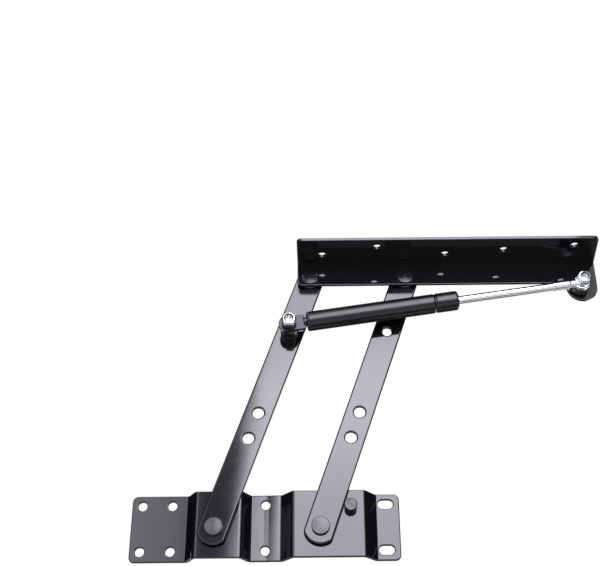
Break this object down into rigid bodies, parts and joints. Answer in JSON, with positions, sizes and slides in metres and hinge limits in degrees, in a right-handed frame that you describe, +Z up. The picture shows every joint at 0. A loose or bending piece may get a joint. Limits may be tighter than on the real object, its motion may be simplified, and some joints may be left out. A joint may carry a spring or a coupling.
{
  "type": "lift top table mechanism",
  "caption": "Side mechanism that lifts a table top up and forwards on two parallel arms, with a gas strut between rear arm and top bracket.",
  "frame": {"origin": "midway between the two holes of the base plate's middle flat, on the plane of the board that it is screwed to", "axes": "+Y into the board that the plate is screwed to, +Z up towards the underside of the table top, +X along the plate in the direction in which the raised top comes forwards"},
  "size_m": [0.3544, 0.0595, 0.2321],
  "materials": {
    "black_paint": "black semi-gloss stove enamel",
    "rivet_black": "black enamelled steel rivet",
    "strut_black": "black lacquered steel tube",
    "bush_black": "black moulded bush",
    "zinc": "bright zinc-plated steel",
    "rod_chrome": "hard-chromed and polished",
    "nylon": "dark nylon insert",
    "seal_rubber": "black nitrile rubber"
  },
  "bodies": {
    "base": {"base_plate": "black_paint", "stop_pin": "rivet_black", "rear_lower_rivet": "rivet_black", "front_lower_rivet": "rivet_black", "rear_lower_washer": "rivet_black", "front_lower_washer": "rivet_black"},
    "rear_arm": {"rear_arm": "black_paint", "tube_stud": "zinc", "tube_stud_bush": "bush_black", "tube_stud_washer": "bush_black", "tube_lock_nut": "zinc", "tube_nut_insert": "nylon"},
    "front_arm": {"front_arm": "black_paint"},
    "top_bracket": {"top_bracket": "black_paint", "rear_upper_rivet": "rivet_black", "front_upper_rivet": "rivet_black", "rear_upper_washer": "rivet_black", "front_upper_washer": "rivet_black", "rod_stud_tail": "zinc"},
    "strut_tube": {"gas_tube": "strut_black", "tube_end_eye": "strut_black", "tube_base_plug": "strut_black", "rod_guide": "strut_black", "rod_seal": "seal_rubber"},
    "strut_rod": {"gas_rod": "rod_chrome", "piston": "zinc", "piston_ring": "seal_rubber", "rod_end_eye": "zinc", "rod_stud": "zinc", "rod_stud_bush": "bush_black", "rod_stud_washer": "zinc", "rod_lock_nut": "zinc", "rod_nut_insert": "nylon"}
  },
  "joints": [
    {"name": "arm_fold", "type": "hinge", "parent": "base", "child": "rear_arm", "pos_m": [-0.0355, -0.016, -0.0035], "axis": [0, -1, 0], "range_deg": [0, 91]},
    {"name": "front_arm_fold", "type": "hinge", "parent": "base", "child": "front_arm", "pos_m": [0.0395, -0.016, -0.0035], "axis": [0, -1, 0], "range_deg": [0, 91]},
    {"name": "bracket_level", "type": "hinge", "parent": "rear_arm", "child": "top_bracket", "pos_m": [0.03287, -0.0185, 0.19506], "axis": [0, -1, 0], "range_deg": [-91, 0]},
    {"name": "strut_swing", "type": "hinge", "parent": "rear_arm", "child": "strut_tube", "pos_m": [0.01692, -0.031, 0.14873], "axis": [0, -1, 0], "range_deg": [-98.6, 0]},
    {"name": "strut_stroke", "type": "slide", "parent": "strut_tube", "child": "strut_rod", "axis": [0.989, 0, 0.1482], "range_m": [-0.0652, 0]}
  ],
  "couplings": [
    {"joint": "front_arm_fold", "follows": "arm_fold", "ratio": 1},
    {"joint": "bracket_level", "follows": "arm_fold", "ratio": -1},
    {"joint": "strut_swing", "follows": "arm_fold", "ratio": -1.0828},
    {"joint": "strut_stroke", "follows": "arm_fold", "m_per_rad": -0.040967}
  ]
}
